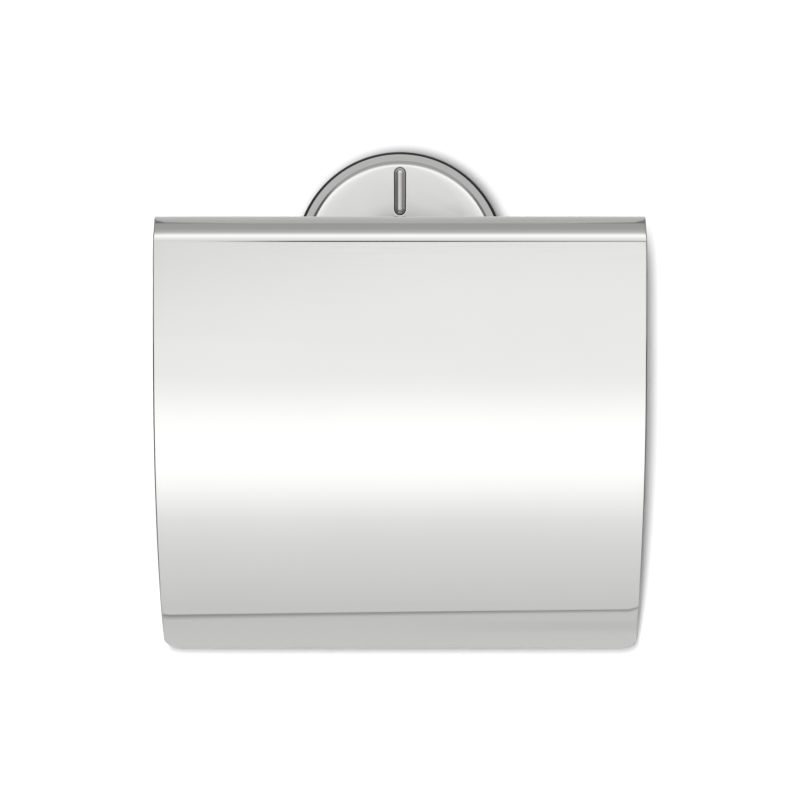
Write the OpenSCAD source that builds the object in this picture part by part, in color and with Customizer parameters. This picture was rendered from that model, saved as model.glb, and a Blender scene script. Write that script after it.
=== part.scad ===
// Wall-mounted toilet paper holder with a hood-shaped flap.
//
// A round rosette sits on the wall. A steel blade comes out of it and carries
// one bent wire: the wire's upper run is the hinge pin of the flap, and its
// lower run holds the paper roll. The flap is one bent sheet that hangs in
// front of the roll and lifts about the hinge.
//
// Frame: +Z up, the wall is the plane Y = 0 and the holder stands out to -Y.
// The origin is the centre of the rosette on the wall.

/* [Flap] */
// Width of the flap
flap_w = 133; // [110:1:160]
// Distance from the wall to the flap's front face
flap_depth = 63; // [52:1:76]
// Height of the flat part of the front
flap_flat_h = 26.6; // [15:0.1:40]
// Outer radius of the lower curve of the front
flap_arc_r = 100; // [80:1:130]
// Sweep of the lower curve, in degrees
flap_arc_a = 59.4; // [45:0.1:62]
// Outer radius of the bend between the top and the front
top_bend_r = 7.2; // [4:0.1:10]
// Radius of the two lower corners of the sheet
corner_r = 5; // [2:0.5:9]
// Thickness of the flap's sheet
sheet_t = 1; // [0.8:0.1:1.4]

/* [Rosette] */
// Diameter of the rubber ring on the wall
rosette_d = 60; // [50:1:72]
// Distance from the wall to the edge of the rosette's face
rosette_depth = 9; // [8:0.5:11]
// Radial width of the bevel round the rosette
bevel_w = 2.7; // [1.5:0.1:4]
// Radius of the face's shallow dome
dome_r = 300; // [200:10:600]
// Thickness of the rosette's pressed cap
cap_t = 1; // [0.8:0.1:1.2]
// Thickness of the rubber ring
gasket_t = 1; // [0.6:0.1:1.4]

/* [Support blade] */
// Thickness of the blade
blade_t = 2.85; // [2:0.05:3.6]
// Height of the round-nosed fin that shows in the rosette's face
fin_h = 13.2; // [9:0.1:15]
// How far the fin stands out of the face
fin_out = 1.4; // [1:0.1:3]
// Distance from the wall to the hinge axis
hinge_back = 22; // [20:0.5:26]
// Height of the hinge axis above the centre of the rosette
hinge_up = 4.6; // [2:0.1:6]

/* [Wire] */
// Diameter of the wire
wire_d = 5; // [4:0.1:6]
// Centre-line radius of the wire's bends
wire_bend_r = 8; // [6:0.5:12]
// Drop from the hinge axis to the roll's run
bar_drop = 34.6; // [28:0.1:44]
// Upward turn at the free end of the roll's run, in degrees
tip_a = 35; // [15:1:50]

/* [Wall fixing] */
// Distance between the two wall screws
screw_spacing = 26; // [22:1:28]
// Diameter of the wall screws' holes
screw_hole_d = 4.4; // [3.6:0.1:5]

/* [Hidden] */
$fn = 96;

// Clearances
run_gap = 0.05;      // sleeve on the wire, radial
seat_gap = 0.1;      // cap over the body, body over the bracket's front edge
slot_gap = 0.2;      // blade in the cap's slots
braze_gap = 0.05;    // blade's tenon in the body
move_gap = 0.3;      // between a moving and a fixed piece, along the hinge
rest_gap = 0.25;     // bumper to wire with the flap down
thread_gap = 0.02;   // set screw in its thread
cut = 0.5;           // how far a cutting tool runs past a face

// Hinge stack, from the wire outwards
wire_r = wire_d / 2;
sleeve_wall = 0.55;
sleeve_ir = wire_r + run_gap;
curl_ir = sleeve_ir + sleeve_wall;
curl_or = curl_ir + sheet_t;
eye_r = wire_r + 2.7;
flap_top = hinge_up + curl_or;
rear_edge = hinge_back + eye_r + 0.6;

// Along the hinge
blade_half = blade_t / 2;
knuckle_in = blade_half + 3.6;
spacer_len = knuckle_in - move_gap - blade_half;
leg_x = flap_w / 2 - wire_r - 2;
knuckle_out = leg_x - wire_bend_r - 2;
hinge_cap_len = 7;
hinge_end = knuckle_out + move_gap + hinge_cap_len - 1.2;

// Flap
arc_z = flap_top - top_bend_r - flap_flat_h;
arc_y = flap_arc_r - flap_depth;
curl_sweep = 240;
corner_a = 180 + flap_arc_a - corner_r / flap_arc_r * 180 / PI;

// Wire, in its own slanted plane. Its lengths are whole micrometres, so that
// the straight runs and the bends end on the same points.
bumper_d = 8;
bumper_t = 1.7;
bumper_face = flap_depth - sheet_t - bumper_t;
bar_out = bumper_face - rest_gap - wire_r;
bar_z = hinge_up - bar_drop;
leg_a = atan2(bar_drop, bar_out - hinge_back);
leg_len = round(1000 * norm([bar_drop, bar_out - hinge_back])) / 1000;
spigot_r = wire_r - 0.4;
spigot_len = 7;
cap_dome = wire_r + 0.6;
tip_reach = wire_bend_r * sin(tip_a) + (spigot_len + cap_dome) * cos(tip_a);
bar_end = leg_x - round(1000 * tip_reach) / 1000;
bumper_x = 40 / 133 * flap_w;

// Rosette
rosette_r = rosette_d / 2;
cap_r = rosette_r - 0.9;
bevel_h = 3.1;
crest_w = 1.3;
face_r = cap_r - bevel_w - crest_w;
crest_h = 0.35;
dome_h = dome_r - sqrt(dome_r * dome_r - face_r * face_r);
face_top = rosette_depth + dome_h;
body_r = cap_r - cap_t - seat_gap;
bracket_t = 4;
bracket_r = body_r - 6.6;
bracket_taper = 1.4;
web_front = bracket_t + 2.8;
ring_r = 0.5;
ring_depth = gasket_t + 0.9;
ring_gap_a = 24;

// Blade
fin_top = face_r - 0.2;
fin_bottom = fin_top - fin_h;
fin_front = rosette_depth + dome_h * 0.5 + fin_out;
arm_top = hinge_up + 1.4;
arm_root_h = 15;
arm_bottom = arm_top - arm_root_h;
tenon_inset = 1;

// Set screw
set_r = 1.5;
set_depth = 3.2;
set_hex = 1.5;
set_tip_r = set_r / 2;
set_tip_z = bracket_r - bracket_taper * (1 - (set_depth + set_tip_r) / bracket_t) + 0.03;
set_end_z = body_r - 0.4;

steel = "#d9dbdc";
dull_steel = "#a9abad";
black = "#1c1c1e";
nylon = "#e8e6df";

// Turns local Z to the direction out of the wall, and local Y to +Z.
module on_wall() rotate([90, 0, 0]) children();

// Extrudes a (Y, Z) outline along X from x0 to x1.
module along_x(x0, x1) {
    translate([x0, 0, 0])
        rotate([90, 0, 90])
            linear_extrude(x1 - x0) children();
}

// A curved strip of sheet about the line (y, z). It starts at angle a0, where
// 0 points to the wall and 90 points up, and turns by sweep either way.
module sheet_curve(y, z, r, a0, sweep, x0, x1) {
    translate([x0, y, z])
        rotate([90, 0, 90])
            rotate([0, 0, a0])
                mirror([0, sweep < 0 ? 1 : 0, 0])
                    rotate_extrude(angle = abs(sweep), $fn = 180)
                        translate([r - sheet_t, 0])
                            square([sheet_t, x1 - x0]);
}

// A tube or rod on the hinge axis.
module on_hinge(x0, x1, r_out, r_in = 0) {
    along_x(x0, x1)
        translate([-hinge_back, hinge_up])
            difference() {
                circle(r_out);
                if (r_in > 0) circle(r_in);
            }
}

// An upright slot outline with round ends, centred on local X = 0.
module slot_2d(w, z0, z1) {
    translate([-w / 2, z0 + w / 2]) square([w, z1 - z0 - w]);
    translate([0, z0 + w / 2]) circle(w / 2);
    translate([0, z1 - w / 2]) circle(w / 2);
}

// The outer form of the cap, drawn in by t all over.
module cap_form(t) {
    lean = atan2(bevel_h, bevel_w);
    side = t * (1 - cos(lean)) / sin(lean);
    intersection() {
        union() {
            translate([0, 0, gasket_t]) cylinder(r = cap_r - t, h = rosette_depth - bevel_h - gasket_t - side);
            translate([0, 0, rosette_depth - bevel_h - side])
                cylinder(r1 = cap_r - t, r2 = cap_r - t - bevel_w, h = bevel_h);
            translate([0, 0, rosette_depth - side])
                cylinder(r1 = cap_r - t - bevel_w, r2 = face_r - t, h = crest_h);
            translate([0, 0, rosette_depth - side + crest_h])
                cylinder(r = face_r - t, h = dome_h);
        }
        translate([0, 0, face_top - dome_r]) sphere(dome_r - t, $fn = 180);
    }
}

// Soft ring between the rosette and the wall.
module wall_gasket() {
    color(black) on_wall()
        difference() {
            cylinder(r = rosette_r, h = gasket_t);
            translate([0, 0, -cut]) cylinder(r = bracket_r + 1.5, h = gasket_t + 2 * cut);
        }
}

// Tapered disc that is screwed to the wall; the body hooks over it.
module wall_bracket() {
    head_r = screw_hole_d / 2 + 2.1;
    color(dull_steel) on_wall()
        difference() {
            cylinder(r1 = bracket_r - bracket_taper, r2 = bracket_r, h = bracket_t);
            for (side = [-1, 1])
                translate([side * screw_spacing / 2, 0, 0]) {
                    translate([0, 0, -cut]) cylinder(d = screw_hole_d, h = bracket_t + 2 * cut);
                    translate([0, 0, bracket_t - 2]) cylinder(r = head_r, h = 2 + cut);
                }
        }
}

// Cast body inside the rosette: it holds the blade and clamps on the bracket.
module rosette_body() {
    color(dull_steel) on_wall()
        difference() {
            union() {
                translate([0, 0, gasket_t]) cylinder(r = body_r, h = rosette_depth - bevel_h - gasket_t - 1);
                translate([0, 0, rosette_depth - bevel_h - 1])
                    cylinder(r1 = body_r, r2 = body_r - 2.5, h = web_front - rosette_depth + bevel_h + 1);
            }
            translate([0, 0, gasket_t - cut])
                cylinder(r = bracket_r + seat_gap, h = bracket_t + seat_gap - gasket_t + cut);
            linear_extrude(web_front + cut)
                slot_2d(blade_t + 2 * braze_gap, arm_bottom + tenon_inset - braze_gap,
                        fin_top - tenon_inset + braze_gap);
            translate([0, 0, ring_depth])
                rotate_extrude() translate([body_r + seat_gap - ring_r, 0]) circle(ring_r + braze_gap, $fn = 32);
            translate([0, -bracket_r, set_depth]) rotate([90, 0, 0]) cylinder(r = set_r, h = body_r);
        }
}

// Socket screw that comes up from below and locks the body on the bracket.
module body_set_screw() {
    shank = set_end_z - set_tip_z;
    color(black) on_wall()
        translate([0, -set_tip_z, set_depth]) rotate([90, 0, 0])
            difference() {
                union() {
                    cylinder(r1 = set_tip_r, r2 = set_r - thread_gap, h = set_tip_r);
                    translate([0, 0, set_tip_r]) cylinder(r = set_r - thread_gap, h = shank - set_tip_r);
                }
                translate([0, 0, shank - 2]) cylinder(d = set_hex / cos(30), h = 2 + cut, $fn = 6);
            }
}

// Split wire ring in the body's groove: the cap snaps over it.
module cap_retaining_ring() {
    color(steel) on_wall()
        translate([0, 0, ring_depth])
            rotate([0, 0, -90 + ring_gap_a / 2])
                rotate_extrude(angle = 360 - ring_gap_a)
                    translate([body_r + seat_gap - ring_r, 0]) circle(ring_r, $fn = 32);
}

// Pressed steel cap: bevelled edge, shallow domed face and two slots.
module rosette_cap() {
    color(steel) on_wall()
        difference() {
            cap_form(0);
            difference() {
                cap_form(cap_t);
                translate([0, 0, gasket_t - 2 * cut]) cylinder(r = rosette_r, h = 2 * cut);
            }
            translate([0, 0, gasket_t - cut]) cylinder(r = cap_r - cap_t, h = 2 * cut);
            linear_extrude(face_top + cut) {
                slot_2d(blade_t + 2 * slot_gap, fin_bottom - slot_gap, fin_top + slot_gap);
                translate([-blade_half - slot_gap, arm_bottom - slot_gap])
                    square([blade_t + 2 * slot_gap, arm_root_h + 2 * slot_gap]);
            }
            translate([0, -bracket_r, set_depth]) rotate([90, 0, 0]) cylinder(r = set_r + 0.2, h = rosette_r);
        }
}

// Steel blade: tenon in the body, round-nosed fin above, arm and eye below.
module support_arm() {
    nose = fin_front - blade_half;
    color(steel)
        difference() {
            union() {
                on_wall() {
                    translate([0, 0, bracket_t + seat_gap])
                        linear_extrude(web_front - bracket_t - seat_gap)
                            slot_2d(blade_t, arm_bottom + tenon_inset, fin_top - tenon_inset);
                    translate([0, 0, web_front])
                        linear_extrude(nose - web_front) slot_2d(blade_t, fin_bottom, fin_top);
                    for (z = [fin_bottom + blade_half, fin_top - blade_half])
                        translate([0, z, nose]) sphere(blade_half, $fn = 48);
                    translate([0, fin_bottom + blade_half, nose])
                        rotate([-90, 0, 0]) cylinder(r = blade_half, h = fin_h - blade_t);
                }
                along_x(-blade_half, blade_half) {
                    translate([-web_front - 0.3, arm_bottom]) square([0.3, fin_top - arm_bottom - blade_half]);
                    polygon([[-web_front, arm_top], [-hinge_back, arm_top],
                             [-hinge_back, hinge_up - eye_r], [-web_front, arm_bottom]]);
                    translate([-hinge_back, hinge_up]) circle(eye_r);
                }
            }
            on_hinge(-blade_t, blade_t, wire_r);
        }
}

// One straight run of the wire from (x, y), in the direction a.
module wire_run(x, y, a, len) {
    translate([x, y, 0]) rotate([0, 0, a]) rotate([0, 90, 0]) cylinder(r = wire_r, h = len, $fn = 48);
}

// One bend of the wire about (x, y), from angle a, turning by sweep.
module wire_bend(x, y, a, sweep) {
    translate([x, y, 0]) rotate([0, 0, a])
        rotate_extrude(angle = sweep) translate([wire_bend_r, 0]) circle(wire_r, $fn = 48);
}

// Puts a piece drawn in the wire's plane where it belongs.
module in_wire_plane() {
    translate([0, -hinge_back, hinge_up]) rotate([leg_a, 0, 0]) children();
}

// Puts a piece drawn along +X at the end of the wire's turned-up bend.
module at_wire_tip() {
    in_wire_plane()
        translate([bar_end, -leg_len + wire_bend_r, 0])
            rotate([0, 0, tip_a])
                translate([0, -wire_bend_r, 0])
                    rotate([0, 90, 0]) children();
}

// One bent wire: hinge run, left leg, roll run and turned-up end, which is
// turned down to a spigot for its cap.
module roll_wire() {
    inner = leg_x - wire_bend_r;
    color(steel) in_wire_plane() {
        wire_run(-inner, 0, 0, inner + hinge_end);
        wire_bend(-inner, -wire_bend_r, 90, 90);
        wire_run(-leg_x, -leg_len + wire_bend_r, 90, leg_len - 2 * wire_bend_r);
        wire_bend(-inner, -leg_len + wire_bend_r, 180, 90);
        wire_run(-inner, -leg_len, 0, inner + bar_end);
        wire_bend(bar_end, -leg_len + wire_bend_r, -90, tip_a);
    }
    color(steel) at_wire_tip()
        translate([0, 0, -cut]) cylinder(r = spigot_r, h = spigot_len + cut);
}

// Round plastic cap on the spigot at the free end of the roll's run.
module roll_wire_end_cap() {
    color(dull_steel) at_wire_tip()
        difference() {
            union() {
                cylinder(r = cap_dome, h = spigot_len);
                intersection() {
                    translate([0, 0, spigot_len]) sphere(cap_dome, $fn = 64);
                    translate([0, 0, spigot_len]) cylinder(r = 2 * cap_dome, h = 2 * cap_dome);
                }
            }
            translate([0, 0, -cut]) cylinder(r = spigot_r, h = spigot_len + cut);
        }
}

// Push-on cap at the right end of the hinge run: it keeps the flap on.
module hinge_end_cap() {
    x0 = knuckle_out + move_gap;
    color(dull_steel)
        difference() {
            on_hinge(x0, x0 + hinge_cap_len, curl_ir + 0.6);
            on_hinge(x0 - cut, hinge_end, wire_r);
        }
}

// Spacer tube on the wire between the blade's eye and a knuckle.
module spacer(side) {
    mirror([side < 0 ? 1 : 0, 0, 0])
        color(nylon) on_hinge(blade_half, blade_half + spacer_len, curl_or, wire_r);
}

// Bearing sleeve pressed into a knuckle of the flap.
module sleeve(side) {
    mirror([side < 0 ? 1 : 0, 0, 0])
        color(nylon) on_hinge(knuckle_in, knuckle_out, curl_ir, sleeve_ir);
}

// Takes the square corner off one lower end of the sheet.
module corner_tool() {
    translate([flap_w / 2 - corner_r, arc_y, arc_z])
        rotate([corner_a - 180, 0, 0])
            translate([0, -flap_arc_r - cut, 0])
                rotate([-90, 0, 0])
                    difference() {
                        cube([corner_r + cut, 2 * corner_r, sheet_t + 2 * cut]);
                        translate([0, 0, -cut]) cylinder(r = corner_r, h = sheet_t + 4 * cut);
                    }
}

// One bent sheet: rolled knuckles, flat top, bend, flat front, lower curve.
module flap() {
    half = flap_w / 2;
    bend_y = top_bend_r - flap_depth;
    color(steel)
        difference() {
            union() {
                along_x(-half, half) {
                    translate([bend_y, flap_top - sheet_t]) square([-rear_edge - bend_y, sheet_t]);
                    translate([-flap_depth, arc_z]) square([sheet_t, flap_flat_h]);
                }
                sheet_curve(bend_y, flap_top - top_bend_r, top_bend_r, 90, 90, -half, half);
                sheet_curve(arc_y, arc_z, flap_arc_r, 180, flap_arc_a, -half, half);
                for (side = [-1, 1]) {
                    x0 = side < 0 ? -knuckle_out : knuckle_in;
                    x1 = side < 0 ? -knuckle_in : knuckle_out;
                    along_x(x0, x1)
                        translate([-rear_edge, flap_top - sheet_t]) square([rear_edge - hinge_back, sheet_t]);
                    sheet_curve(-hinge_back, hinge_up, curl_or, 90, -curl_sweep, x0, x1);
                }
            }
            corner_tool();
            mirror([1, 0, 0]) corner_tool();
        }
}

// Silicone dot inside the flap, where it comes down on the wire.
module bumper(side) {
    color(nylon)
        intersection() {
            translate([side * bumper_x, 0, bar_z]) on_wall()
                translate([0, 0, bumper_face]) cylinder(d = bumper_d, h = flap_depth - bumper_face);
            translate([0, arc_y, arc_z])
                rotate([0, 90, 0]) cylinder(r = flap_arc_r - sheet_t, h = flap_w, center = true, $fn = 180);
        }
}

wall_gasket();
wall_bracket();
rosette_body();
body_set_screw();
cap_retaining_ring();
rosette_cap();
support_arm();
roll_wire();
roll_wire_end_cap();
hinge_end_cap();
spacer(-1);  // spacer_left
spacer(1);  // spacer_right
flap();
sleeve(-1);  // sleeve_left
sleeve(1);  // sleeve_right
bumper(-1);  // bumper_left
bumper(1);  // bumper_right
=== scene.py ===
# %% [markdown]
# # A toilet paper holder with a polished steel flap
# The holder is a mirror that is bent over a wire. Nearly everything that is seen on it is a reflection,
# so this lesson is about two things: surfaces whose curves are exact, and a studio that is worth
# reflecting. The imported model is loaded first. It is the frame that every piece has to fit.

# %% Load the frame
import bmesh
import bpy
import numpy as np
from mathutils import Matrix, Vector


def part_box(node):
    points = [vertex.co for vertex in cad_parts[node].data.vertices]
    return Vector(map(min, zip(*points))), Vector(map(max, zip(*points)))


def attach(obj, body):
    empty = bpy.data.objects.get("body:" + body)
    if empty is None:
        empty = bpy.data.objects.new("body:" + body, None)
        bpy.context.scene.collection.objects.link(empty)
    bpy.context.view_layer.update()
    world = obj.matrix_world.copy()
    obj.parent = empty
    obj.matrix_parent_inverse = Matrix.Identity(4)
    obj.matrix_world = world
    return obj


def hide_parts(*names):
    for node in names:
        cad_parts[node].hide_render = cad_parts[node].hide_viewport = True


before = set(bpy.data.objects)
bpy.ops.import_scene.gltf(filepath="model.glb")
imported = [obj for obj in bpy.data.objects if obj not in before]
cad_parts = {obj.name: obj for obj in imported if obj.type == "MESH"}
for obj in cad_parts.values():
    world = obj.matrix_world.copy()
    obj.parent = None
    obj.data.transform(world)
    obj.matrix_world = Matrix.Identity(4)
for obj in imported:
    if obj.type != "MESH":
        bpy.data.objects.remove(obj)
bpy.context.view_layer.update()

# %% [markdown]
# ## The sizes that everything shares
# A maker works from one drawing, and so does this script. Lengths are in millimetres until a mesh is
# made. X runs along the flap, Y into the wall and Z up; the middle of the rosette on the wall is the
# origin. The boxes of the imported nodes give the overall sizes, and the rest are the drawing's own radii
# and gaps. A size that two pieces share is written here once. A size of one piece stands in that piece's
# own cell.

# %% Sizes in millimetres
MM = 1000.0
half_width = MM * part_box("flap")[1].x
flap_depth = -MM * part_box("flap")[0].y
sheet = 1.0
edge_r = 0.42
hinge_y, hinge_z = -22.0, 4.6
wire_r, blade_half = 2.5, 1.425
knuckle_in, knuckle_out, play = 5.025, 52.0, 0.3
arc_r, front_run, bend_outer, mid_curl = 100.0, 26.6, 7.2, 3.6
bar_drop, bumper_t, rest_gap = 34.6, 1.7, 0.25
cap_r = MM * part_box("rosette_cap")[1].x - 0.1
fin_z, fin_half_h = 18.3, 6.6
print("flap", round(2 * half_width, 1), "mm wide,", round(flap_depth, 1), "mm from the wall")

# %% [markdown]
# ## Helpers that turn numbers into meshes
# Each shape below is a set of rings or rows of points, worked out as whole arrays. `stitch` joins each
# ring to the next with four-sided faces. `piece` welds the seams and poles, turns every face outwards,
# smooths the shading, says which body the piece rides on and hides the CAD node that it stands for.

# %% Stitch rings and make pieces
def stitch(rings, closed=True):
    """Faces between neighbouring rings: points i and i + 1 of one ring, then i + 1 and i of the next."""
    rings = np.asarray(rings, float)
    index = np.arange(rings.shape[0] * rings.shape[1]).reshape(rings.shape[:2])
    after = np.roll(index, -1, axis=1)
    if not closed:
        index, after = index[:, :-1], after[:, :-1]
    quads = np.stack([index[:-1], after[:-1], after[1:], index[1:]], -1).reshape(-1, 4)
    return rings.reshape(-1, 3), quads


def piece(name, parts, body, node, weld=2e-4):
    """One mesh from (points in mm, faces) pairs, welded where the pairs touch and facing outwards."""
    points, faces, start = [], [], 0
    for part_points, part_faces in parts:
        points.append(part_points)
        faces += (np.asarray(part_faces) + start).tolist()
        start += len(part_points)
    mesh = bpy.data.meshes.new(name)
    mesh.from_pydata((np.concatenate(points) / MM).tolist(), [], faces)
    work = bmesh.new()
    work.from_mesh(mesh)
    bmesh.ops.remove_doubles(work, verts=work.verts, dist=weld / MM)
    bmesh.ops.dissolve_degenerate(work, edges=work.edges, dist=weld / MM)
    bmesh.ops.recalc_face_normals(work, faces=work.faces)
    open_edges = sum(1 for edge in work.edges if len(edge.link_faces) != 2)
    work.to_mesh(mesh)
    work.free()
    mesh.shade_smooth()
    made = bpy.data.objects.new(name, mesh)
    bpy.context.scene.collection.objects.link(made)
    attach(made, body)
    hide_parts(node)
    print(f"{name}: {len(mesh.polygons)} faces, {open_edges} open edges")
    return made


# %% [markdown]
# ## Paths of straight runs and bends
# Sheet and wire are both bent the same way: a straight run, a bend of known radius, another run. A path
# is therefore a list of (length, turn) pairs. Inside a bend the heading grows evenly with the distance,
# so the point is start + ((sin h - sin h0) / k, (cos h0 - cos h) / k), where k is the turn per
# millimetre.

# %% Bent paths
def bent_path(start, heading, spans):
    """Returns a function of distance that gives the point and the heading there, for runs and true arcs."""
    table, at, here = [], 0.0, np.array(start, float)
    turn_now = np.radians(heading)
    for length, turn in spans:
        table.append((at, here, turn_now, np.radians(turn) / length))
        here = follow(table[-1], at + length)[0]
        turn_now += np.radians(turn)
        at += length

    def path(distance):
        distance = np.asarray(distance, float)
        points = np.zeros(distance.shape + (2,))
        headings = np.zeros(distance.shape)
        for number, span in enumerate(table):
            inside = distance >= span[0] - 1e-9 if number else np.ones(distance.shape, bool)
            points[inside], headings[inside] = follow(span, distance[inside])
        return points, headings

    path.length = at
    return path


def follow(span, distance):
    """The point and heading at a distance along one span."""
    begin, origin, heading, bend = span
    gone = np.asarray(distance, float) - begin
    now = heading + bend * gone
    if abs(bend) < 1e-12:
        step = np.stack([gone * np.cos(heading), gone * np.sin(heading)], -1)
    else:
        step = np.stack([np.sin(now) - np.sin(heading), np.cos(heading) - np.cos(now)], -1) / bend
    return origin + step, now


def arc_length(radius, degrees):
    """Length of an arc: the radius times the angle."""
    return radius * np.radians(abs(degrees))


# %% [markdown]
# ## The flap
# The flap is one piece of 1 mm stainless sheet. Two tabs at its rear edge are rolled into knuckles for
# the hinge, then come a short flat top, a tight bend, a flat front and a long lower curve. It could be a
# thick solid with bevels, but a mirror shows every uneven facet. So the blank is laid out flat first, as
# a net of rows and columns with rounded corners, and then each point is carried along the bent path. The
# rim of the sheet is a set of rings round the net's outline: each ring is pushed outwards and down by the
# sine and cosine of one angle, which gives the rounded edge that catches a dark line in real polished
# sheet.

# %% The flap's path
curl_deg, arc_deg = 240, 59.4
mid_bend = bend_outer - sheet / 2
mid_arc = arc_r - sheet / 2
tab_run, top_run = 5.8, 28.0
spans = [(arc_length(mid_curl, curl_deg), curl_deg), (tab_run, 0), (top_run, 0),
         (arc_length(mid_bend, 90), 90), (front_run, 0), (arc_length(mid_arc, arc_deg), arc_deg)]
curl_heading = 180 - curl_deg
from_hinge = np.radians(curl_heading - 90)
curl_start = np.array([hinge_y, hinge_z]) + mid_curl * np.array([np.cos(from_hinge), np.sin(from_hinge)])
flap_path = bent_path(curl_start, curl_heading, spans)
marks = np.cumsum([0] + [length for length, _ in spans])
rear, bend_from, bend_to, arc_from, foot = marks[2:]
lowest = flap_path(np.array([foot]))[0][0]
print("the flap's path is", round(foot, 1), "mm long and ends at y, z =", lowest.round(2))

# %% [markdown]
# A mirror shows the direction of each facet, so the rows are closest where the sheet turns fastest. Two
# rows stand just outside the tight bend, so that the shading of the flat runs stays flat right up to it.

# %% Rows and columns of the blank
def rows_between(first, last, step):
    """Evenly spaced rows, without the last."""
    return np.linspace(first, last, max(2, int(np.ceil((last - first) / step)) + 1))[:-1]


def corner_rows(limit, radius, count):
    """Distances before a rounded end and how far its rows draw in: radius * sin and radius * (1 - cos)."""
    turn = np.linspace(0, np.pi / 2, count)
    inner = radius - edge_r
    return limit - radius + inner * np.sin(turn), inner * (1 - np.cos(turn))


foot_corner, rear_corner, tab_corner = 5.0, 1.5, 1.0
foot_rows, foot_in = corner_rows(foot, foot_corner, 22)
rear_rows, rear_in = corner_rows(-rear, rear_corner, 9)
rear_rows, rear_in = -rear_rows[::-1], rear_in[::-1]
beside_bend = 0.05
body_rows = np.concatenate([
    rows_between(rear_rows[-1], bend_from - beside_bend, 2.0)[1:], [bend_from - beside_bend],
    rows_between(bend_from, bend_to, 0.22), [bend_to],
    rows_between(bend_to + beside_bend, arc_from, 1.6), rows_between(arc_from, foot_rows[0], 1.0)])
rows = np.concatenate([rear_rows, body_rows, foot_rows])
draw_in = np.concatenate([rear_in, 0 * body_rows, foot_in])
# Bending pinches the sheet's sides in by a little: a bell curve about the middle of the bend.
pinch_depth, pinch_reach = 0.22, 4.0
pinch = pinch_depth * np.exp(-((rows - (bend_from + bend_to) / 2) / pinch_reach) ** 2)
print(len(rows), "rows from the rear edge to the foot")

# Columns up to `fixed` run straight, so that the tabs can start from them. Those further out draw in.
fixed = knuckle_out + 0.35
side = np.concatenate([[0.0, 2.5, 4.7, knuckle_in + edge_r], np.linspace(7.5, 49.5, 15),
                       [knuckle_out - edge_r, fixed, 55.0, 58.0, 61.0, 63.5, half_width - edge_r]])
columns = np.unique(np.concatenate([-side, side]))
outer_room = half_width - edge_r - fixed


def drawn(x, amount):
    """Columns outside the knuckles move in by their share of the amount, the others stay."""
    share = np.clip((np.abs(x) - fixed) / outer_room, 0, 1)
    return x - np.sign(x) * share * amount


blank_x = drawn(columns[None, :], (draw_in + pinch)[:, None])
blank_s = np.repeat(rows[:, None], len(columns), 1)

# %% [markdown]
# The tabs are smaller nets that share the blank's first row between their own first and last column.
# Walking round the joined nets gives the outline. At each outline point the two neighbouring edges'
# outward directions are mitred: their sum over 1 + their dot product moves both edges out by the same
# distance.

# %% Tabs, outline and the finished sheet
def tab_net(first, last):
    """Rows of one tab from the rear edge to its free end, drawn in at the two end corners."""
    end_rows, end_in = corner_rows(rear, tab_corner, 7)
    straight = rows_between(rear - rear_rows[0], end_rows[0], 0.45)[1:]
    distance = np.concatenate([straight, end_rows])
    narrow = np.concatenate([0 * straight, end_in])
    x = columns[first:last + 1]
    middle, reach = (x[0] + x[-1]) / 2, (x[-1] - x[0]) / 2
    tab_x = middle + (x - middle)[None, :] * (1 - narrow / reach)[:, None]
    return tab_x, np.repeat(rear - distance[:, None], len(x), 1)


def column_at(x):
    """The column nearest to x."""
    return int(np.argmin(np.abs(columns - x)))


left_first, left_last = column_at(edge_r - knuckle_out), column_at(-knuckle_in - edge_r)
right_first, right_last = column_at(knuckle_in + edge_r), column_at(knuckle_out - edge_r)
net_x, net_s = [blank_x.ravel()], [blank_s.ravel()]
main = np.arange(blank_x.size).reshape(blank_x.shape)
nets, used = [main], blank_x.size
for first, last in ((left_first, left_last), (right_first, right_last)):
    x, s = tab_net(first, last)
    own = np.arange(x.size).reshape(x.shape) + used
    used += x.size
    nets.append(np.concatenate([main[:1, first:last + 1], own])[::-1])
    net_x.append(x.ravel())
    net_s.append(s.ravel())
net_x, net_s = np.concatenate(net_x), np.concatenate(net_s)

left_tab, right_tab = nets[1:]
outline = np.concatenate([
    main[0, :left_first], left_tab[::-1, 0], left_tab[0, 1:-1], left_tab[:, -1],
    main[0, left_last + 1:right_first], right_tab[::-1, 0], right_tab[0, 1:-1], right_tab[:, -1],
    main[0, right_last + 1:], main[1:, -1], main[-1, -2::-1], main[-2:0:-1, 0]])
walk = np.stack([net_x[outline], net_s[outline]], -1)
leave = np.roll(walk, -1, 0) - walk
leave /= np.linalg.norm(leave, axis=1, keepdims=True)
out_after = np.stack([leave[:, 1], -leave[:, 0]], -1)
out_before = np.roll(out_after, 1, 0)
mitre = (out_before + out_after) / (1 + np.sum(out_before * out_after, 1))[:, None]
print(len(outline), "points round the blank, longest mitre", np.linalg.norm(mitre, axis=1).max().round(2))


# %% Bend the blank
def bend_sheet(x, s, height):
    """The blank on the bent path: the middle line's point plus the outward normal times the height."""
    point, heading = flap_path(s)
    normal = np.stack([np.sin(heading), -np.cos(heading)], -1)
    place = point + normal * np.asarray(height)[..., None]
    return np.stack([x, place[..., 0], place[..., 1]], -1)


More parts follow.
